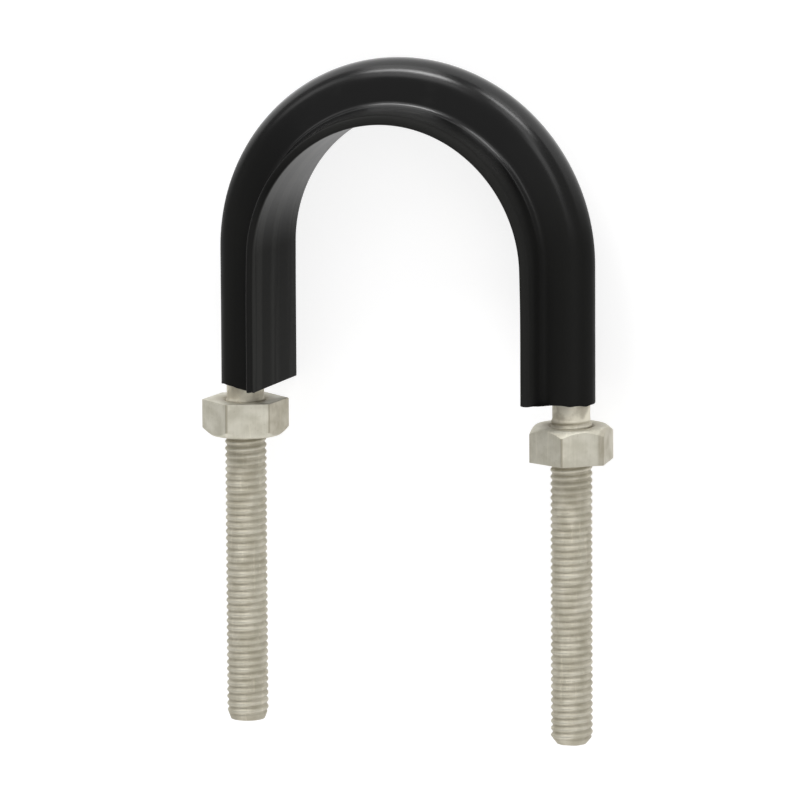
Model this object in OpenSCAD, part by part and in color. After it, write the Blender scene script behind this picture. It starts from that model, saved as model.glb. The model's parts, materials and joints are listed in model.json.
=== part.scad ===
// U-bolt with a flat rubber pipe seat: a bent rod with two threaded legs, a moulded
// sleeve over its bend and a hexagon nut on each leg. Sizes are in millimetres.
//
// The bolt lies on its side. X runs across the legs, Y along them with the crown at +Y,
// and Z up along the pipe that the seat takes. The origin is on the pipe's axis, half way
// across the seat.

/* [Pipe seat] */
// Bore of the seat, and so the inside width between the sleeve's two legs
seat_d = 64; // [40:0.5:120]
// Width of the flat seat along the pipe
flange_w = 26; // [22:0.5:40]
// Thickness of the seat flange at its two edges
flange_edge_t = 2; // [1.4:0.1:2.6]
// Rise of the flange's back from its edge to the hump, in degrees
flange_slope = 2; // [0:0.5:12]
// Rounding of the flange's edges
flange_round = 0.5; // [0.2:0.05:0.6]

/* [Sleeve] */
// Rubber between the rod and the seat
pad_t = 3.1; // [2.8:0.1:6]
// Rubber over the sides and the outside of the rod
skin_t = 1.15; // [0.8:0.05:2]
// Cove between the flange's back and the hump over the rod
cove_r = 1.8; // [1:0.1:2.6]
// Straight length of each leg of the sleeve below the bend
sleeve_leg = 30.5; // [10:0.5:80]
// Gap around the rod in the sleeve's tunnel
sleeve_clear = 0.05; // [0.02:0.01:0.2]

/* [Rod] */
// Diameter of the plain rod
rod_d = 8.5; // [6:0.1:12]
// Height by which the rolled thread stands above the plain rod
thread_rise = 0.45; // [0.3:0.05:0.7]
// Distance from one ridge of the thread to the next, 16 to the inch
thread_pitch = 1.5875; // [1:0.0125:2.5]
// Depth of the thread from its crests to its roots
thread_depth = 0.6; // [0.4:0.05:0.9]
// Width of the flat on the thread's crests
thread_crest = 0.3; // [0.1:0.05:0.6]
// Plain rod that shows between the sleeve and the thread
shank_gap = 3.8; // [1:0.1:20]
// Length over which the thread runs out into the plain rod
thread_runout = 1; // [0.5:0.1:3]
// Length of thread on each leg, from the plain rod to the tip
thread_len = 74; // [40:1:150]
// Length of the taper at the left leg's tip
left_tip_len = 2.2; // [0.5:0.1:4]
// How far that taper closes in from the thread's crests
left_tip_cut = 0.8; // [0.4:0.1:2]
// Length of the taper at the right leg's tip
right_tip_len = 1.7; // [0.5:0.1:4]
// How far that taper closes in from the thread's crests
right_tip_cut = 1.5; // [0.4:0.1:2]

/* [Nuts] */
// Width across the flats of a nut
nut_af = 17; // [15:0.5:24]
// Height of a nut
nut_h = 8; // [5:0.1:12]
// How much narrower than the flats the round face on the chamfered side is
nut_face_inset = 1; // [0:0.1:2]
// Angle of that chamfer, in degrees
nut_chamfer = 40; // [15:1:45]
// Gap between the thread's crests and the nut's bore, on each side
nut_clear = 0.06; // [0.04:0.01:0.2]
// Width of the countersink at each mouth of the bore, on each side
nut_sink = 0.5; // [0.2:0.1:0.8]
// Depth of that countersink
nut_sink_depth = 0.5; // [0.2:0.1:1]
// Distance of the left nut below the top of its thread
left_nut_down = 0.4; // [0:0.05:60]
// Distance of the right nut below the top of its thread
right_nut_down = 1.75; // [0:0.05:60]
// Turn of the left nut on its leg, in degrees
left_nut_turn = 26; // [0:1:60]
// Turn of the right nut on its leg, in degrees
right_nut_turn = 38; // [0:1:60]

/* [Hidden] */
$fn = 96;
// How far a cut or an envelope runs past the faces that it meets
overrun = 1;
// How far a corner's web reaches past its two sides, and how far its arc cuts into them
web_overlap = 0.3;
arc_bite = 0.005;

rod_r = rod_d / 2;
thread_r = rod_r + thread_rise;
thread_root_r = thread_r - thread_depth;
hump_r = rod_r + skin_t;
// Radius of the bend, and half the distance between the legs
bend_r = seat_d / 2 + pad_t + rod_r;
// Corners of the seat and flange in the sleeve's section, from the rod's centre
seat_x = -(pad_t + rod_r);
edge_x = seat_x + flange_edge_t;
edge_y = flange_w / 2;
root_x = edge_x + (edge_y - hump_r) * tan(flange_slope);
// Places along a leg, measured down from the end of the bend
thread_top = sleeve_leg + shank_gap;
leg_end = thread_top + thread_len;
nut_bore_r = thread_r + nut_clear;
nut_mouth_r = nut_bore_r + nut_sink;
nut_corner_r = nut_af / 2 / cos(30);
nut_face_r = (nut_af - nut_face_inset) / 2;

function unit(v) = v / norm(v);

// The web in a corner between two straight sides, bounded by an arc of radius r that runs
// smoothly into both. Added to an inside corner it is a cove, and taken from an outside
// corner it rounds it.
module corner_web(corner, side_a, side_b, r) {
    a = unit(side_a);
    b = unit(side_b);
    half = acos(a * b) / 2;
    centre = corner + unit(a + b) * r / sin(half);
    reach = r / tan(half);
    grow = 1 + web_overlap / r;
    kite = [corner + a * reach, corner, corner + b * reach];
    difference() {
        polygon([centre, for (point = kite) centre + (point - centre) * grow]);
        translate(centre) circle(r = r + arc_bite);
    }
}

// Half of the sleeve's section without the crown of its hump
module half_section() {
    back = [root_x - edge_x, hump_r - edge_y];
    difference() {
        polygon([
            [seat_x, 0],
            [seat_x, edge_y],
            [edge_x, edge_y],
            [root_x, hump_r],
            [0, hump_r],
            [0, 0],
        ]);
        corner_web([seat_x, edge_y], [0, -1], [1, 0], flange_round);
        corner_web([edge_x, edge_y], [-1, 0], back, flange_round);
    }
    corner_web([root_x, hump_r], -back, [1, 0], cove_r);
}

// Section of the sleeve about the rod's centre, with the seat towards -X
module sleeve_section() {
    difference() {
        union() {
            circle(r = hump_r);
            half_section();
            mirror([0, 1]) half_section();
        }
        circle(r = rod_r + sleeve_clear);
    }
}

// Stands a shape that was drawn along +Z on one leg, pointing down from the end of the bend
module on_leg(side) {
    translate([side * bend_r, 0, 0]) rotate([90, 0, 0]) children();
}

// One straight leg of the rod. Its thread is turned as rings at the thread's pitch, which
// stand in for the helix and keep every face of the leg exact.
module leg(tip_len, tip_cut) {
    first_crest = thread_top + thread_runout;
    tip_top = leg_end - tip_len;
    grooves = floor((tip_top - first_crest) / thread_pitch);
    groove_half = (thread_pitch - thread_crest) / 2;
    rotate_extrude() polygon([
        [0, 0],
        [rod_r, 0],
        [rod_r, thread_top],
        [thread_r, first_crest],
        for (groove = [1 : grooves])
            let (end = first_crest + groove * thread_pitch) each [
                [thread_r, end - 2 * groove_half],
                [thread_root_r, end - groove_half],
                [thread_r, end],
            ],
        [thread_r, tip_top],
        [thread_r - tip_cut, leg_end],
        [0, leg_end],
    ]);
}

// The round envelope of a nut, with its chamfered side at the bottom
module nut_envelope() {
    envelope_r = nut_corner_r + overrun;
    chamfer_h = (envelope_r - nut_face_r) * tan(nut_chamfer);
    rotate_extrude() polygon([
        [0, 0],
        [nut_face_r, 0],
        [envelope_r, chamfer_h],
        [envelope_r, nut_h + overrun],
        [0, nut_h + overrun],
    ]);
}

// The bore of a nut, countersunk at both mouths
module nut_bore() {
    rotate_extrude() polygon([
        [0, -overrun],
        [nut_mouth_r, -overrun],
        [nut_mouth_r, 0],
        [nut_bore_r, nut_sink_depth],
        [nut_bore_r, nut_h - nut_sink_depth],
        [nut_mouth_r, nut_h],
        [nut_mouth_r, nut_h + overrun],
        [0, nut_h + overrun],
    ]);
}

// A hexagon nut along +Z, with its chamfered side at the bottom
module hex_nut() {
    difference() {
        intersection() {
            cylinder(r = nut_corner_r, h = nut_h, $fn = 6);
            nut_envelope();
        }
        nut_bore();
    }
}

module u_rod() {
    color("silver") {
        rotate_extrude(angle = 180) translate([bend_r, 0]) circle(d = rod_d);
        on_leg(-1) leg(left_tip_len, left_tip_cut);
        on_leg(1) leg(right_tip_len, right_tip_cut);
    }
}

module sleeve() {
    color([0.09, 0.09, 0.09]) {
        rotate_extrude(angle = 180) translate([bend_r, 0]) sleeve_section();
        for (side = [0, 1]) mirror([side, 0, 0])
            on_leg(1) linear_extrude(height = sleeve_leg) sleeve_section();
    }
}

// The left nut's chamfer faces the tip of its leg
module nut_left() {
    color("gainsboro") on_leg(-1)
        translate([0, 0, thread_top + left_nut_down + nut_h])
        rotate([0, 180, -left_nut_turn]) hex_nut();
}

// The right nut's chamfer faces the sleeve
module nut_right() {
    color("gainsboro") on_leg(1)
        translate([0, 0, thread_top + right_nut_down])
        rotate([0, 0, -right_nut_turn]) hex_nut();
}

u_rod();
sleeve();
nut_left();
nut_right();
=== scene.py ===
"""Looks of a flat u-bolt: a bent steel rod with two threaded legs, a black rubber sleeve
with a flat pipe seat over its bend, and a hexagon nut on each leg.

Metres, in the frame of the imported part: X across the legs, Y along them with the crown at
+Y, Z up along the pipe. The bolt lies on the edges of its seat.
"""
import json
import math
from types import SimpleNamespace

import bmesh
import bpy
from mathutils import Matrix, Vector, noise


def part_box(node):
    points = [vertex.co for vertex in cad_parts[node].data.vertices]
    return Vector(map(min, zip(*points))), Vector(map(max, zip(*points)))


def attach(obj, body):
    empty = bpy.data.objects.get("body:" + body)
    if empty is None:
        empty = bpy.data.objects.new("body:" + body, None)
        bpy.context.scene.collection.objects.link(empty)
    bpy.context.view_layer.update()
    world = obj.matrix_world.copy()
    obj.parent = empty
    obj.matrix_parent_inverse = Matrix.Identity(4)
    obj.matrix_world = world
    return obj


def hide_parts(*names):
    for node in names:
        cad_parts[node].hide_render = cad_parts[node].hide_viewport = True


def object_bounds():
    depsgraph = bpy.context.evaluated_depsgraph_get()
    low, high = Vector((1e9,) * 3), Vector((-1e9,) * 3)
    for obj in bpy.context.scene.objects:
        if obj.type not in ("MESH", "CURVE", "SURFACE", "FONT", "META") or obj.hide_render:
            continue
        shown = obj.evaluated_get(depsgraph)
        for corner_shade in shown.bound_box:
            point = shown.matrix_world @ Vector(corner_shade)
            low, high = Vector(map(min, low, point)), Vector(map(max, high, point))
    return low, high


MM = 0.001
INCH = 0.0254
# The two legs, by their sign along X
LEFT, RIGHT = -1, 1

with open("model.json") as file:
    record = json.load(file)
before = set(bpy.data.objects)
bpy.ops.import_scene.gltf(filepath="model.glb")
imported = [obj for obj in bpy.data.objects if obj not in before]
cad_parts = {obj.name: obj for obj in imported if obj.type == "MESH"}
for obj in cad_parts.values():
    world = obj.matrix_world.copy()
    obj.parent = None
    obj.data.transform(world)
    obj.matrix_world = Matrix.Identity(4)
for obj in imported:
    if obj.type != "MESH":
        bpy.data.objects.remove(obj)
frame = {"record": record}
cad_low, cad_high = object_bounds()

# Sizes that the frame gives
sleeve_low, sleeve_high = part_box("sleeve")
rod_low, rod_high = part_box("u_rod")
mounts = {mount["name"]: mount for mount in frame["record"]["mounts"]}
SEAT_R = mounts["pipe_seat"]["dims"]["r_mm"] * MM
THREAD_R = rod_high.z
BEND_R = rod_high.x - THREAD_R
ROD_R = rod_high.y - BEND_R
HUMP_R = sleeve_high.y - BEND_R
FLANGE_HALF = sleeve_high.z
SLEEVE_END = sleeve_low.y
LEG_END = rod_low.y

# Section of the sleeve
FLANGE_EDGE = 2.0 * MM
FLANGE_SLOPE = math.radians(2)
FLANGE_ROUND = 1.2 * MM
SEAT_ROUND = 0.75 * MM
COVE_R = 1.8 * MM
TUNNEL_GAP = 0.05 * MM

# How far the flange's free edges hang in at the crown, and where on the legs that begins
FRONT_DROOP = 0.95 * MM
BACK_DROOP = 0.25 * MM
DROOP_START = -14 * MM

# Cut ends of the sleeve: how far they hang below a plain cut, how much less the flange's
# edge does, a lobe at the front that grows from outside the rod's axis towards the seat, and
# the height and width of the ragged spots
CUT_LOW = {LEFT: 0.6 * MM, RIGHT: 0.45 * MM}
FLANGE_SHORT = {LEFT: 0.1 * MM, RIGHT: 0.7 * MM}
CUT_LOBE = {LEFT: 1.0 * MM, RIGHT: 0}
LOBE_START = 2.1 * MM
LOBE_GROWTH = 4 * MM
CUT_UNEVEN = 0.4 * MM
CUT_GRAIN = 2.0 * MM

# Thread. The flat is half the width of a crest or a root, as a share of the pitch
PITCH = INCH / 16
THREAD_DEPTH = 0.40 * MM
THREAD_FLAT = 0.1
ROOT_R = THREAD_R - THREAD_DEPTH
SHANK_GAP = 3.8 * MM
THREAD_TOP = SLEEVE_END - SHANK_GAP
RUNOUT = 0.8 * PITCH
TIP_LENGTH = {LEFT: 2.2 * MM, RIGHT: 1.7 * MM}
TIP_CUT = {LEFT: 0.8 * MM, RIGHT: 1.2 * MM}
TIP_ROUGH = {LEFT: 0.1 * MM, RIGHT: 0.6 * MM}
TIP_GRAIN = 2.4 * MM

# Nuts. The drum that the flats are cut from is a little wider than their corners
NUT_AF = 17 * MM
NUT_FACE_R = 8.0 * MM
NUT_CHAMFER = math.radians(40)
THREAD_GAP = 0.06 * MM
NUT_BORE_R = THREAD_R + THREAD_GAP
NUT_SINK = 0.5 * MM
NUT_MOUTH_R = NUT_BORE_R + NUT_SINK
NUT_LEAD = 0.6 * MM
NUT_CORNER_R = NUT_AF / math.sqrt(3)
NUT_DRUM_R = 1.02 * NUT_CORNER_R
NUT_EDGE = 0.12 * MM
NUT_TURN = {LEFT: math.radians(26), RIGHT: math.radians(38)}

# Mesh density, and how close two places count as one
SLEEVE_LEG_STEPS = 16
SLEEVE_BEND_STEPS = 96
TUNNEL_SIDES = 48
ROUND_SIDES = 72
ROD_LEG_STEPS = 4
ROD_BEND_STEPS = 48
THREAD_ROWS = 10
SAME_PLACE = 0.02 * MM
WELD = 0.002 * MM

# Colours
ROD_PALE = (0.66, 0.63, 0.535, 1)
ROD_DULL = (0.56, 0.53, 0.435, 1)
NUT_PALE = (0.68, 0.655, 0.56, 1)
NUT_DULL = (0.585, 0.56, 0.465, 1)
STEEL_GRIME_AND_SHADE = (0.30, 0.255, 0.175, 1)
STEEL_BRIGHT = (0.84, 0.80, 0.68, 1)
RUBBER_BLACK = (0.0025, 0.0025, 0.0025, 1)
RUBBER_DUST_AND_LIGHT = (0.042, 0.042, 0.040, 1)
FLOOR_GREY = (0.42, 0.42, 0.42, 1)

# The floor, with how much it glows for the camera and in reflections, and the room's light
# at the horizon and overhead
FLOOR_SIZE = 6
FLOOR_GLOW = 0.74
ROOM_LOW, ROOM_HIGH = 0.31, 0.33

# Lights over the crown and at its shoulders: name, place, width and height, brightness
CROWN_LIGHTS = (
    ("left_crown_low", (-0.24, 0.70, 0.12), (0.40, 0.24), 1.7),
    ("left_crown", (-0.33, 0.68, 0.37), (0.22, 0.14), 9.0),
    ("top_crown", (-0.13, 0.68, 0.37), (0.18, 0.14), 14.0),
    ("left_crown_high", (-0.24, 0.56, 0.60), (0.40, 0.26), 1.4),
    ("right_crown_low", (0.32, 0.70, 0.08), (0.30, 0.16), 1.7),
    ("right_crown", (0.32, 0.68, 0.27), (0.30, 0.14), 7.0),
    ("right_crown_high", (0.32, 0.58, 0.50), (0.30, 0.26), 1.4),
    ("left_shoulder", (-0.58, 0.40, 0.38), (0.30, 0.20), 1.0),
    ("right_shoulder", (0.39, 0.31, 0.63), (0.28, 0.26), 1.3),
)
# Large soft lights on the whole bolt: name, place, width and height, power
FILL_LIGHTS = (
    ("right_fill", (0.93, -0.30, 1.13), (1.1, 0.9), 4.4),
    ("left_fill", (-1.25, -0.25, 0.60), (0.7, 0.6), 0.45),
    ("legs_fill", (-0.10, -0.95, 0.45), (1.2, 0.5), 4.0),
)
CROWN_AIM = (0, 0, 0)
FILL_AIM = (0, -0.03, 0)

# Camera: how far it is turned to the right, lifted and rolled, the point that it looks at,
# and the width that it sees there
VIEW_TURN = math.radians(21.98)
VIEW_LIFT = math.radians(9.84)
VIEW_ROLL = math.radians(-0.296)
VIEW_TARGET = Vector((-1.73, -32.84, 0)) * MM
VIEW_WIDTH = 179.4 * MM
VIEW_DISTANCE = 2.0
SENSOR_WIDTH = 36


def begin():
    """Deselects everything, so that what follows acts on one piece."""
    bpy.ops.object.select_all(action="DESELECT")


def enter(piece):
    """Opens a piece in edit mode."""
    begin()
    piece.select_set(True)
    bpy.context.view_layer.objects.active = piece
    bpy.ops.object.mode_set(mode="EDIT")
    bpy.ops.mesh.select_mode(type="VERT")


def leave():
    """Closes edit mode and hands back the piece."""
    bpy.ops.object.mode_set(mode="OBJECT")
    return bpy.context.active_object


def pick(test):
    """Selects the vertices in edit mode whose place passes the test, and what they span."""
    mesh = bpy.context.edit_object.data
    cage = bmesh.from_edit_mesh(mesh)
    for vertex in cage.verts:
        vertex.select = bool(test(vertex.co))
    cage.select_flush_mode()
    bmesh.update_edit_mesh(mesh)


def place(test, move):
    """Moves the vertices in edit mode that pass the test to where move says."""
    mesh = bpy.context.edit_object.data
    cage = bmesh.from_edit_mesh(mesh)
    for vertex in cage.verts:
        if test(vertex.co):
            vertex.co = move(vertex.co)
    bmesh.update_edit_mesh(mesh)


def near(a, b):
    """Whether two lengths are as good as equal."""
    return abs(a - b) < SAME_PLACE


def ease(share):
    """A share held between 0 and 1, with a soft start and end."""
    share = min(1, max(0, share))
    return share * share * (3 - 2 * share)


def extrude_by(step, times):
    """Draws out the selected edges, some steps in a row."""
    for _ in range(times):
        bpy.ops.mesh.extrude_edges_move(TRANSFORM_OT_translate={"value": step})


def spin_bend(steps):
    """Draws the selected edges round the bend, from the right leg to the left."""
    bpy.ops.mesh.spin(steps=steps, angle=-math.pi, center=(0, 0, 0), axis=(0, 0, 1))


def weld_and_face_out():
    """Merges doubled vertices and turns every face outwards."""
    bpy.ops.mesh.select_all(action="SELECT")
    bpy.ops.mesh.remove_doubles(threshold=WELD)
    bpy.ops.mesh.normals_make_consistent(inside=False)


def join_and_weld(piece, others):
    """Joins other pieces to a piece and welds them. The piece stays open in edit mode."""
    begin()
    for part in (piece, *others):
        part.select_set(True)
    bpy.context.view_layer.objects.active = piece
    bpy.ops.object.join()
    enter(piece)
    weld_and_face_out()


def finish_piece(piece, name, body, node, material, smooth_angle):
    """Names, smooths and finishes a piece, and puts it in the place of its node."""
    piece.name = name
    piece.data.name = name
    begin()
    piece.select_set(True)
    bpy.context.view_layer.objects.active = piece
    bpy.ops.object.shade_smooth_by_angle(angle=math.radians(smooth_angle))
    piece.data.materials.clear()
    piece.data.materials.append(material)
    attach(piece, body)
    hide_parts(node)


def sleeve_outline():
    """The sleeve's section at the end of the right leg, as a closed loop of edges."""
    seat_x = SEAT_R
    edge_x = seat_x + FLANGE_EDGE
    root_x = edge_x + (FLANGE_HALF - HUMP_R) * math.tan(FLANGE_SLOPE)
    crown_x = BEND_R + HUMP_R
    begin()
    bpy.ops.mesh.primitive_plane_add(
        size=2 * FLANGE_HALF, enter_editmode=True,
        location=(seat_x + FLANGE_HALF, SLEEVE_END, 0), rotation=(math.pi / 2, 0, 0))
    section = leave()
    bpy.ops.object.transform_apply(location=True, rotation=True, scale=True)
    enter(section)
    place(lambda p: p.x > seat_x + FLANGE_HALF, lambda p: Vector((edge_x, p.y, p.z)))
    pick(lambda p: near(p.x, edge_x))
    bpy.ops.mesh.subdivide(number_cuts=4, ngon=True)
    # The four new points become the foot and the shoulder of the hump on each side
    fifth = FLANGE_HALF / 5
    place(lambda p: near(abs(p.z), 3 * fifth),
          lambda p: Vector((root_x, p.y, math.copysign(HUMP_R, p.z))))
    place(lambda p: near(abs(p.z), fifth),
          lambda p: Vector((crown_x, p.y, math.copysign(HUMP_R, p.z))))
    cove_turn = (math.pi / 2 - FLANGE_SLOPE) / 2
    for corner_x, reach, segments in (
            (crown_x, HUMP_R, 14),
            (root_x, COVE_R * math.tan(cove_turn), 10),
            (edge_x, FLANGE_ROUND, 8),
            (seat_x, SEAT_ROUND, 4)):
        pick(lambda p: near(p.x, corner_x) and not near(p.z, 0))
        bpy.ops.mesh.bevel(offset=reach, offset_type="OFFSET", segments=segments,
                           profile=0.5, affect="VERTICES", clamp_overlap=False)
    bpy.ops.mesh.select_all(action="SELECT")
    bpy.ops.mesh.remove_doubles(threshold=WELD)
    bpy.ops.mesh.delete(type="ONLY_FACE")


def towards_flange_edge(p):
    """0 on the hump, growing to 1 at the flange's free edge."""
    return ease((abs(p.z) - HUMP_R) / (FLANGE_HALF - HUMP_R))


def droop(p):
    """Lets the flange's edge hang in towards the pipe, more so towards the crown."""
    rise = ease((p.y - DROOP_START) / (SEAT_R - DROOP_START))
    sag = (FRONT_DROOP if p.z > 0 else BACK_DROOP) * towards_flange_edge(p) * rise
    return p - Vector((p.x, max(p.y, 0), 0)).normalized() * sag


def uneven_cut(p):
    """Lowers a place on a cut end, by a different amount on each leg."""
    side = LEFT if p.x < 0 else RIGHT
    on_flange = towards_flange_edge(p)
    ragged = CUT_UNEVEN * noise.noise(Vector((p.x, 0, p.z)) / CUT_GRAIN)
    inwards = ease((BEND_R + LOBE_START - abs(p.x)) / LOBE_GROWTH)
    lobe = CUT_LOBE[side] * inwards * ease(p.z / HUMP_R) * (1 - on_flange)
    drop = CUT_LOW[side] + lobe - FLANGE_SHORT[side] * on_flange + ragged
    return p - Vector((0, drop, 0))


def model_sleeve():
    """The outline and the rod's tunnel are drawn up one leg, round the bend and down."""
    sleeve_outline()
    bpy.ops.mesh.primitive_circle_add(
        vertices=TUNNEL_SIDES, radius=ROD_R + TUNNEL_GAP, location=(BEND_R, SLEEVE_END, 0),
        rotation=(math.pi / 2, 0, 0))
    bpy.ops.mesh.select_all(action="SELECT")
    step = -SLEEVE_END / SLEEVE_LEG_STEPS
    extrude_by((0, step, 0), SLEEVE_LEG_STEPS)
    spin_bend(SLEEVE_BEND_STEPS)
    extrude_by((0, -step, 0), SLEEVE_LEG_STEPS)
    for side in (LEFT, RIGHT):
        pick(lambda p: near(p.y, SLEEVE_END) and p.x * side > 0)
        bpy.ops.mesh.bridge_edge_loops()
    weld_and_face_out()
    place(lambda p: p.y > DROOP_START and abs(p.z) > HUMP_R, droop)
    place(lambda p: near(p.y, SLEEVE_END), uneven_cut)
    return leave()


def tooth(turn, y):
    """Height of the right-hand thread at a turn around a leg: 0 in a root, 1 on a crest."""
    phase = (THREAD_TOP - y) / PITCH + turn / (2 * math.pi)
    from_crest = abs(phase - round(phase))
    return min(1, max(0, (0.5 - THREAD_FLAT - from_crest) / (0.5 - 2 * THREAD_FLAT)))


def thread_grid(top, bottom, radius_at):
    """A fine grid screwed along the Y axis from top to bottom, its rows along the thread.
    The radius at each point comes from its turn around the axis and its place along it."""
    begin()
    bpy.ops.mesh.primitive_plane_add(
        size=PITCH, enter_editmode=True, location=(ROD_R - PITCH / 2, PITCH / 2, 0))
    pick(lambda p: p.x < 0)
    bpy.ops.mesh.delete(type="VERT")
    bpy.ops.mesh.select_all(action="SELECT")
    bpy.ops.mesh.subdivide(number_cuts=THREAD_ROWS - 1)
    grid = leave()
    bpy.ops.object.transform_apply(location=True, rotation=True, scale=True)
    screw = grid.modifiers.new("thread", "SCREW")
    screw.axis = "Y"
    screw.angle = 2 * math.pi
    screw.screw_offset = -PITCH
    # The slanting ends run past the top and the bottom, and are pressed flat there
    screw.iterations = math.ceil((top - bottom) / PITCH) + 2
    screw.steps = ROUND_SIDES
    screw.render_steps = ROUND_SIDES
    bpy.ops.object.modifier_apply(modifier="thread")
    enter(grid)
    # The rows start on the last whole turn of the leg's thread that isn't below the top
    start = THREAD_TOP + math.ceil((top - THREAD_TOP) / PITCH) * PITCH

    def form(p):
        turn = math.atan2(-p.z, p.x)
        y = min(top, max(bottom, start + p.y))
        radius = radius_at(turn, y)
        return Vector((radius * math.cos(turn), y, -radius * math.sin(turn)))

    place(lambda p: True, form)
    bpy.ops.mesh.select_all(action="SELECT")
    bpy.ops.mesh.remove_doubles(threshold=WELD)
    return leave()


def model_threaded_leg(side):
    """The thread grows out of the plain rod and ends in a rough taper."""
    def leg_radius(turn, y):
        full = ROOT_R + THREAD_DEPTH * tooth(turn, y)
        grown = min(1, (THREAD_TOP - y) / RUNOUT)
        radius = ROD_R + (full - ROD_R) * grown
        to_tip = (y - LEG_END) / TIP_LENGTH[side]
        if to_tip > 1:
            return radius
        around = Vector((math.cos(turn) * ROD_R, y, math.sin(turn) * ROD_R))
        rough = TIP_ROUGH[side] * (0.5 + 0.5 * noise.noise(around / TIP_GRAIN))
        taper = 1 - to_tip
        return min(radius, THREAD_R - TIP_CUT[side] * taper) - rough * taper

    leg = thread_grid(THREAD_TOP, LEG_END, leg_radius)
    enter(leg)
    pick(lambda p: near(p.y, LEG_END))
    bpy.ops.mesh.edge_face_add()
    bpy.ops.mesh.region_to_loop()
    bpy.ops.mesh.mark_sharp()
    bpy.ops.mesh.select_all(action="SELECT")
    bpy.ops.transform.translate(value=(side * BEND_R, 0, 0))
    return leave()


def model_rod():
    """The plain bend, welded to the two threaded legs."""
    legs = [model_threaded_leg(LEFT), model_threaded_leg(RIGHT)]
    begin()
    bpy.ops.mesh.primitive_circle_add(
        vertices=ROUND_SIDES, radius=ROD_R, enter_editmode=True,
        location=(BEND_R, THREAD_TOP, 0), rotation=(math.pi / 2, 0, 0))
    rod = leave()
    bpy.ops.object.transform_apply(location=True, rotation=True, scale=True)
    enter(rod)
    bpy.ops.mesh.select_all(action="SELECT")
    step = -THREAD_TOP / ROD_LEG_STEPS
    extrude_by((0, step, 0), ROD_LEG_STEPS)
    spin_bend(ROD_BEND_STEPS)
    extrude_by((0, -step, 0), ROD_LEG_STEPS)
    leave()
    join_and_weld(rod, legs)
    return leave()


def turn_drum(face_y, inwards, height):
    """A drum about the Y axis with a chamfered face and a countersunk bore, in edit mode."""
    chamfer = (NUT_DRUM_R - NUT_FACE_R) * math.tan(NUT_CHAMFER)
    outline = (
        (NUT_BORE_R, NUT_SINK),
        (NUT_MOUTH_R, 0),
        (NUT_FACE_R, 0),
        (NUT_DRUM_R, chamfer),
        (NUT_DRUM_R, height),
        (NUT_MOUTH_R, height),
        (NUT_BORE_R, height - NUT_SINK),
    )
    begin()
    bpy.ops.mesh.primitive_circle_add(vertices=len(outline), radius=NUT_AF, enter_editmode=True)
    # The circle's points become those of the outline, in order
    corners = iter(outline)

    def next_corner(p):
        radius, depth = next(corners)
        return Vector((radius, face_y + inwards * depth, 0))

    place(lambda p: True, next_corner)
    # The bore's own wall comes later, with the thread in it
    pick(lambda p: near(p.x, NUT_BORE_R))
    bpy.ops.mesh.delete(type="EDGE")
    bpy.ops.mesh.select_all(action="SELECT")
    bpy.ops.mesh.spin(steps=ROUND_SIDES, angle=2 * math.pi, center=(0, 0, 0), axis=(0, 1, 0))
    weld_and_face_out()


def cut_flats(first_turn):
    """Cuts six flats off the drum in edit mode."""
    for flat in range(6):
        angle = first_turn + flat * math.pi / 3
        outward = Vector((math.sin(angle), 0, math.cos(angle)))
        bpy.ops.mesh.select_all(action="SELECT")
        bpy.ops.mesh.bisect(plane_co=outward * NUT_AF / 2, plane_no=outward,
                            use_fill=True, clear_outer=True)
    weld_and_face_out()


def model_nut(side, node):
    """A chamfered drum is turned, six flats are cut off it and a thread lines its bore."""
    low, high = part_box(node)
    # The left nut's chamfer faces the tip of its leg, the right nut's the sleeve
    face_y, inwards = (low.y, 1) if side == LEFT else (high.y, -1)
    turn_drum(face_y, inwards, high.y - low.y)
    cut_flats(NUT_TURN[side])
    nut = leave()
    edges = nut.modifiers.new("edges", "BEVEL")
    edges.width = NUT_EDGE
    edges.segments = 2
    edges.limit_method = "ANGLE"
    edges.angle_limit = math.radians(25)
    bpy.ops.object.modifier_apply(modifier="edges")

    def bore_radius(turn, y):
        lead = min(high.y - NUT_SINK - y, y - low.y - NUT_SINK) / NUT_LEAD
        ridge = (THREAD_DEPTH - THREAD_GAP) * (1 - tooth(turn, y))
        return NUT_BORE_R - ridge * min(1, lead)

    lining = thread_grid(high.y - NUT_SINK, low.y + NUT_SINK, bore_radius)
    join_and_weld(nut, [lining])
    bpy.ops.transform.translate(value=(side * BEND_R, 0, 0))
    return leave()


def new_material(name):
    """A new material, its node tree and its shader."""
    material = bpy.data.materials.new(name)
    material.use_nodes = True
    return material, material.node_tree, material.node_tree.nodes["Principled BSDF"]


def add_node(tree, kind, inputs, **settings):
    """A new node of a kind. Each input is a plain value or another node's output."""
    node = tree.nodes.new("ShaderNode" + kind)
    for name, value in settings.items():
        setattr(node, name, value)
    for socket, value in inputs.items():
        if isinstance(value, bpy.types.NodeSocket):
            tree.links.new(value, node.inputs[socket])
        else:
            node.inputs[socket].default_value = value
    return node


def calc(tree, operation, *values):
    """The result of one operation on one to three values."""
    node = add_node(tree, "Math", dict(enumerate(values)), operation=operation)
    return node.outputs["Value"]


def product(tree, a, b):
    """Two values multiplied."""
    return calc(tree, "MULTIPLY", a, b)


def add_share(tree, value, extra, share):
    """A value with a share of another one added."""
    return calc(tree, "MULTIPLY_ADD", extra, share, value)


def largest(tree, value, *others):
    """The largest of some values."""
    for other in others:
        value = calc(tree, "MAXIMUM", value, other)
    return value


def diagonal(tree, a, b):
    """The distance that two lengths at right angles span."""
    return calc(tree, "SQRT", add_share(tree, product(tree, b, b), a, a))


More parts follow.
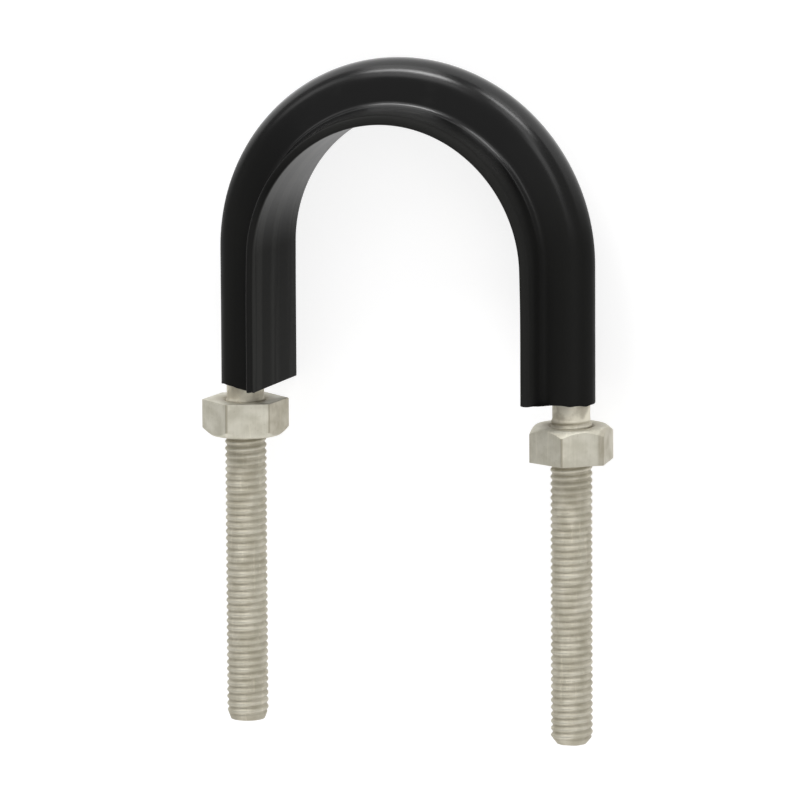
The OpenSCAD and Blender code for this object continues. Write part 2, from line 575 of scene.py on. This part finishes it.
def fade(tree, value, low, high, out_low=0, out_high=1):
    """A value carried smoothly from one range to another, and held at its ends."""
    inputs = {0: value, 1: low, 2: high, 3: out_low, 4: out_high}
    node = add_node(tree, "MapRange", inputs, interpolation_type="SMOOTHSTEP")
    return node.outputs["Result"]


def fade_round(tree, turn, low, high, out_low, out_high):
    """What changes between two turns round the bend, which are given in degrees."""
    return fade(tree, turn, math.radians(low), math.radians(high), out_low, out_high)


def mix(tree, amount, value_a, value_b):
    """The first value where the amount is 0, and the second where it is 1."""
    node = add_node(tree, "Mix", {0: amount, 2: value_a, 3: value_b}, data_type="FLOAT")
    return node.outputs[0]


def mix_colours(tree, amount, colour_a, colour_b):
    """The first colour where the amount is 0, and the second where it is 1."""
    node = add_node(tree, "Mix", {0: amount, 6: colour_a, 7: colour_b}, data_type="RGBA")
    return node.outputs[2]


def object_places(tree):
    """The place on the object as a vector and as its X, Y and Z."""
    place_at = add_node(tree, "TexCoord", {}).outputs["Object"]
    parts = add_node(tree, "SeparateXYZ", {"Vector": place_at})
    return place_at, parts.outputs["X"], parts.outputs["Y"], parts.outputs["Z"]


def grain(tree, place_at, size, stretch=(1, 1, 1), turned=(0, 0, 0), detail=3):
    """Soft noise with spots of about a given size, turned and drawn out along some directions."""
    scaled = add_node(tree, "Mapping", {"Vector": place_at, "Rotation": turned, "Scale": stretch})
    inputs = {"Vector": scaled.outputs["Vector"], "Scale": 1 / size, "Detail": detail}
    return add_node(tree, "TexNoise", inputs).outputs["Fac"]


def raise_surface(tree, shader, height, depth):
    """Bumps the surface by up to a depth."""
    bump = add_node(tree, "Bump", {"Height": height, "Distance": depth, "Strength": 1})
    tree.links.new(bump.outputs["Normal"], shader.inputs["Normal"])


def worn_steel(name, pale, dull, smoothest, roughest, grime_and_painted_light):
    """Dull steel: cloudy, with faint lines along the legs, fine pits and short bright scuffs.
    The grime function gives how much dirt and painted shade darken a spot, and how much painted
    light brightens it."""
    material, tree, shader = new_material(name)
    place_at, x, y, z = object_places(tree)
    clouds = grain(tree, place_at, 3.2 * MM, detail=5)
    lines = grain(tree, place_at, 0.35 * MM, stretch=(1, 0.06, 1))
    pits = grain(tree, place_at, 0.9 * MM, detail=4)
    scuffs = grain(tree, place_at, 0.7 * MM, stretch=(1, 0.08, 0.5), turned=(0.5, 0.3, 0.7),
                   detail=1)
    across = across_leg(tree, x)
    spot = SimpleNamespace(
        y=y, across=across, radius=diagonal(tree, across, z), pits=pits, clouds=clouds)
    dirt_and_shade, painted_light = grime_and_painted_light(tree, spot)
    cloudy = fade(tree, add_share(tree, clouds, lines, 0.3), 0.45, 0.85)
    # Painted light on the plain shank, and short bright scuffs, pale the tint
    bright = largest(tree, painted_light, fade(tree, scuffs, 0.62, 0.72, out_high=0.3))
    tint = mix_colours(tree, cloudy, dull, pale)
    tint = mix_colours(tree, bright, tint, STEEL_BRIGHT)
    # Dirt, and on the nuts painted shade as well, darken the tint
    tint = mix_colours(tree, dirt_and_shade, tint, STEEL_GRIME_AND_SHADE)
    tree.links.new(tint, shader.inputs["Base Color"])
    roughness = fade(tree, clouds, 0.3, 0.7, roughest, smoothest)
    tree.links.new(roughness, shader.inputs["Roughness"])
    shader.inputs["Metallic"].default_value = 0.75
    raise_surface(tree, shader, add_share(tree, pits, lines, 0.5), 0.012 * MM)
    return material


def across_leg(tree, x):
    """How far to the right of the nearer leg's axis a place is."""
    return calc(tree, "SUBTRACT", x, product(tree, calc(tree, "SIGN", x), BEND_R))


def rod_grime_and_light(tree, spot):
    """Dark roots in the thread, unevenly, soft stains on the plain rod, and painted light on the
    plain rod that lifts the sleeve's shadow on it.
    """
    uneven = add_share(tree, spot.radius, spot.pits, 0.2 * MM)
    root = fade(tree, uneven, ROOT_R + 0.2 * MM, THREAD_R + 0.08 * MM, 0.28, 0)
    stain = fade(tree, spot.clouds, 0.35, 0.6, 0.36, 0)
    threaded = fade(tree, spot.y, THREAD_TOP - RUNOUT, THREAD_TOP, 1, 0)
    # The second value is painted light on the plain shank, against the sleeve's shadow
    return mix(tree, threaded, stain, root), fade(tree, threaded, 0, 1, 1, 0)


def nut_grime_and_shade(tree, spot):
    """A darker ring around the bore, painted shade along the corners and over the flat on the
    right, and faint spots elsewhere. It adds no painted light."""
    ring = product(tree, fade(tree, spot.radius, NUT_MOUTH_R, NUT_FACE_R, 1, 0), spot.clouds)
    # Painted shade along the nut's corners and edges
    corner_shade = fade(tree, spot.radius, NUT_CORNER_R - 0.2 * MM, NUT_CORNER_R - 0.1 * MM,
                  out_high=0.5)
    flat_at = NUT_AF / 2
    # Painted shade: the flat on the right is made darker
    right_flat_shade = fade(tree, spot.across, flat_at - 0.7 * MM, flat_at - 0.2 * MM, out_high=0.42)
    right_flat_shade = product(tree, right_flat_shade, fade(tree, spot.clouds, 0.3, 0.7, 1.15, 0.85))
    faint = fade(tree, spot.pits, 0.60, 0.80, out_high=0.25)
    return largest(tree, ring, corner_shade, right_flat_shade, faint), 0


def black_rubber():
    """Black rubber with a polished crown, duller and dustier legs, a rougher seat with painted
    reflection bands, and a flange rim paled partly by painted light.
    """
    material, tree, shader = new_material("black_rubber")
    spot = sleeve_spot(tree)
    tint = mix_colours(tree, rubber_dust_and_light(tree, spot), RUBBER_BLACK, RUBBER_DUST_AND_LIGHT)
    tree.links.new(tint, shader.inputs["Base Color"])
    tree.links.new(rubber_roughness(tree, spot), shader.inputs["Roughness"])
    shader.inputs["Specular IOR Level"].default_value = 0.03
    tree.links.new(rubber_polish(tree, spot), shader.inputs["Coat Weight"])
    shader.inputs["Coat Roughness"].default_value = 0.22
    raise_surface(tree, shader, grain(tree, spot.place_at, 0.45 * MM, detail=2), 0.006 * MM)
    return material


def sleeve_spot(tree):
    """What a spot on the sleeve is like: its place, how far it is from the middle towards an
    edge, its turn round the bend from the nearer leg and from the right one, its place on the
    sleeve rolled out flat, how much it is seat or cut end, and how cloudy it is."""
    place_at, x, y, z = object_places(tree)
    side = calc(tree, "ABSOLUTE", z)
    over_bend = calc(tree, "MAXIMUM", y, 0)
    reach = diagonal(tree, x, over_bend)
    turn = calc(tree, "ARCTAN2", over_bend, calc(tree, "ABSOLUTE", x))
    along = add_share(tree, calc(tree, "MINIMUM", y, 0), turn, SEAT_R)
    rolled_out = add_node(tree, "CombineXYZ", {"X": reach, "Y": along, "Z": z})
    facing_pipe = fade(tree, reach, SEAT_R + 0.1 * MM, SEAT_R + 0.5 * MM, 1, 0)
    inside_edges = fade(tree, side, FLANGE_HALF - 0.5 * MM, FLANGE_HALF - 0.1 * MM, 1, 0)
    return SimpleNamespace(
        place_at=place_at, x=x, side=side, turn=turn,
        right_turn=calc(tree, "ARCTAN2", over_bend, x),
        rolled_out=rolled_out.outputs["Vector"],
        seat=product(tree, facing_pipe, inside_edges),
        cut=fade(tree, y, SLEEVE_END - 0.3 * MM, SLEEVE_END, 1, 0),
        clouds=grain(tree, place_at, 5 * MM, detail=5))


def rubber_dust_and_light(tree, spot):
    """A film of dust that thins out towards the crown, heavier on the seat and on the cut ends,
    with pale lengthwise bands on the seat that are painted reflections, and a paler flange rim
    that is partly dust and partly painted light."""
    film = fade_round(tree, spot.turn, 10, 50, 0.30, 0.01)
    seat_film = fade_round(tree, spot.turn, 8, 30, 0.56, 0.68)
    film = mix(tree, spot.seat, film, seat_film)
    dust_and_light = largest(tree, film, fade(tree, spot.clouds, 0.5, 0.8, out_high=0.14))

    # Pale lengthwise bands on the seat: painted reflections
    streaks = grain(tree, spot.rolled_out, 2.6 * MM, stretch=(1, 0.05, 1), detail=2)
    middle_band = fade(tree, spot.side, 0.5 * MM, 3.5 * MM, 1, 0)
    edge_band = fade(tree, spot.side, 6.5 * MM, 8.5 * MM)
    bands = calc(tree, "ADD", middle_band, edge_band)
    bands = product(tree, bands, fade(tree, streaks, 0.3, 0.6))
    painted_seat_bands = product(tree, spot.seat, bands)
    dust_and_light = add_share(tree, dust_and_light, painted_seat_bands, fade_round(tree, spot.turn, 8, 25, 0.56, 0.85))

    # The flange's rim is paler: partly dust, partly painted light that lifts the shade beside the
    # hump, with less of it on the left leg
    rim_dust_and_light = fade(tree, spot.side, HUMP_R, FLANGE_HALF - 2 * MM, out_high=0.46)
    rim_dust_and_light = product(tree, rim_dust_and_light, fade(tree, spot.x, -SEAT_R, -0.3 * SEAT_R, 0.3, 1))
    rim_dust_and_light = calc(tree, "SUBTRACT", rim_dust_and_light, spot.seat)
    return largest(tree, dust_and_light, rim_dust_and_light, product(tree, spot.cut, 0.22))


def rubber_roughness(tree, spot):
    """Smoothest at the crown, rougher on the seat, the flange's edges and the cut ends."""
    shine = fade_round(tree, spot.turn, 5, 55, 0.38, 0.21)
    gloss = add_share(tree, shine, fade(tree, spot.clouds, 0.3, 0.7), 0.07)
    edge = fade(tree, spot.side, FLANGE_HALF - FLANGE_ROUND, FLANGE_HALF, out_high=0.7)
    seat = fade_round(tree, spot.turn, 2, 30, 0.75, 0.42)
    roughness = mix(tree, spot.seat, largest(tree, gloss, edge), seat)
    return largest(tree, roughness, product(tree, spot.cut, 0.75))


def rubber_polish(tree, spot):
    """A polish over the crown that fades out towards both legs and the flange's edges, and a
    faint one on the seat that grows towards the crown."""
    crown = fade_round(tree, spot.right_turn, 5, 46, 0, 1)
    crown = product(tree, crown, fade_round(tree, spot.right_turn, 118, 168, 1, 0))
    crown = product(tree, crown, fade(tree, spot.side, 10 * MM, FLANGE_HALF - FLANGE_ROUND, 1, 0))
    seat = fade_round(tree, spot.turn, -6, 30, 0, 0.38)
    return mix(tree, spot.seat, crown, seat)


def build_floor():
    """A plain pale floor, seen as white by the camera and in reflections, with its shadow."""
    begin()
    bpy.ops.mesh.primitive_plane_add(size=FLOOR_SIZE, location=(0, 0, cad_low.z))
    floor = bpy.context.active_object
    floor.name = "floor"
    material, tree, shader = new_material("pale_floor")
    shader.inputs["Base Color"].default_value = FLOOR_GREY
    shader.inputs["Roughness"].default_value = 0.9
    path = add_node(tree, "LightPath", {}).outputs
    seen = largest(
        tree, path["Is Camera Ray"], path["Is Glossy Ray"], path["Is Transmission Ray"])
    glow = add_node(tree, "Emission", {"Strength": product(tree, seen, FLOOR_GLOW)})
    both = add_node(tree, "AddShader", {0: shader.outputs["BSDF"], 1: glow.outputs["Emission"]})
    tree.links.new(both.outputs["Shader"], tree.nodes["Material Output"].inputs["Surface"])
    floor.data.materials.append(material)


def add_softbox(name, place_at, aim, size, power):
    """A rectangular light that faces what it is aimed at."""
    lamp = bpy.data.lights.new(name, "AREA")
    lamp.shape = "RECTANGLE"
    lamp.size, lamp.size_y = size
    lamp.energy = power
    holder = bpy.data.objects.new(name, lamp)
    bpy.context.scene.collection.objects.link(holder)
    holder.location = place_at
    holder.rotation_euler = (Vector(aim) - Vector(place_at)).to_track_quat("-Z", "Y").to_euler()


def build_lights():
    """Lights over the crown and its shoulders, soft fill on the whole bolt, and a pale room."""
    for name, place_at, size, brightness in CROWN_LIGHTS:
        add_softbox(name, place_at, CROWN_AIM, size, brightness * math.pi * size[0] * size[1])
    for name, place_at, size, power in FILL_LIGHTS:
        add_softbox(name, place_at, FILL_AIM, size, power)
    world = bpy.data.worlds.new("white_room")
    world.use_nodes = True
    sky = world.node_tree
    towards = add_node(sky, "TexCoord", {}).outputs["Generated"]
    height = add_node(sky, "SeparateXYZ", {"Vector": towards}).outputs["Z"]
    background = sky.nodes["Background"].inputs
    background["Color"].default_value = (1, 1, 1, 1)
    sky.links.new(fade(sky, height, 0, 1, ROOM_LOW, ROOM_HIGH), background["Strength"])
    bpy.context.scene.world = world


def build_camera():
    """The photograph's view: turned to the right of the bolt's face and a little above it."""
    back = Vector((
        math.sin(VIEW_TURN) * math.cos(VIEW_LIFT),
        math.sin(VIEW_LIFT),
        math.cos(VIEW_TURN) * math.cos(VIEW_LIFT)))
    level = Vector((math.cos(VIEW_TURN), 0, -math.sin(VIEW_TURN)))
    upright = back.cross(level)
    right = level * math.cos(VIEW_ROLL) + upright * math.sin(VIEW_ROLL)
    up = upright * math.cos(VIEW_ROLL) - level * math.sin(VIEW_ROLL)
    lens = bpy.data.cameras.new("camera")
    lens.sensor_width = SENSOR_WIDTH
    lens.lens = lens.sensor_width * VIEW_DISTANCE / VIEW_WIDTH
    camera = bpy.data.objects.new("camera", lens)
    bpy.context.scene.collection.objects.link(camera)
    turned = Matrix((right, up, back)).transposed().to_4x4()
    camera.matrix_world = Matrix.Translation(VIEW_TARGET + back * VIEW_DISTANCE) @ turned
    bpy.context.scene.camera = camera


bpy.context.scene.view_settings.view_transform = "Standard"
rubber = black_rubber()
rod_steel = worn_steel("rod_steel", ROD_PALE, ROD_DULL, smoothest=0.58, roughest=0.72,
                       grime_and_painted_light=rod_grime_and_light)
nut_steel = worn_steel("nut_steel", NUT_PALE, NUT_DULL, smoothest=0.46, roughest=0.58,
                       grime_and_painted_light=nut_grime_and_shade)
finish_piece(model_sleeve(), "rubber_sleeve", body="bolt", node="sleeve",
             material=rubber, smooth_angle=40)
finish_piece(model_rod(), "bent_rod", body="bolt", node="u_rod",
             material=rod_steel, smooth_angle=65)
finish_piece(model_nut(LEFT, "nut_left"), "left_nut", body="nut_left", node="nut_left",
             material=nut_steel, smooth_angle=30)
finish_piece(model_nut(RIGHT, "nut_right"), "right_nut", body="nut_right", node="nut_right",
             material=nut_steel, smooth_angle=30)
build_floor()
build_lights()
build_camera()
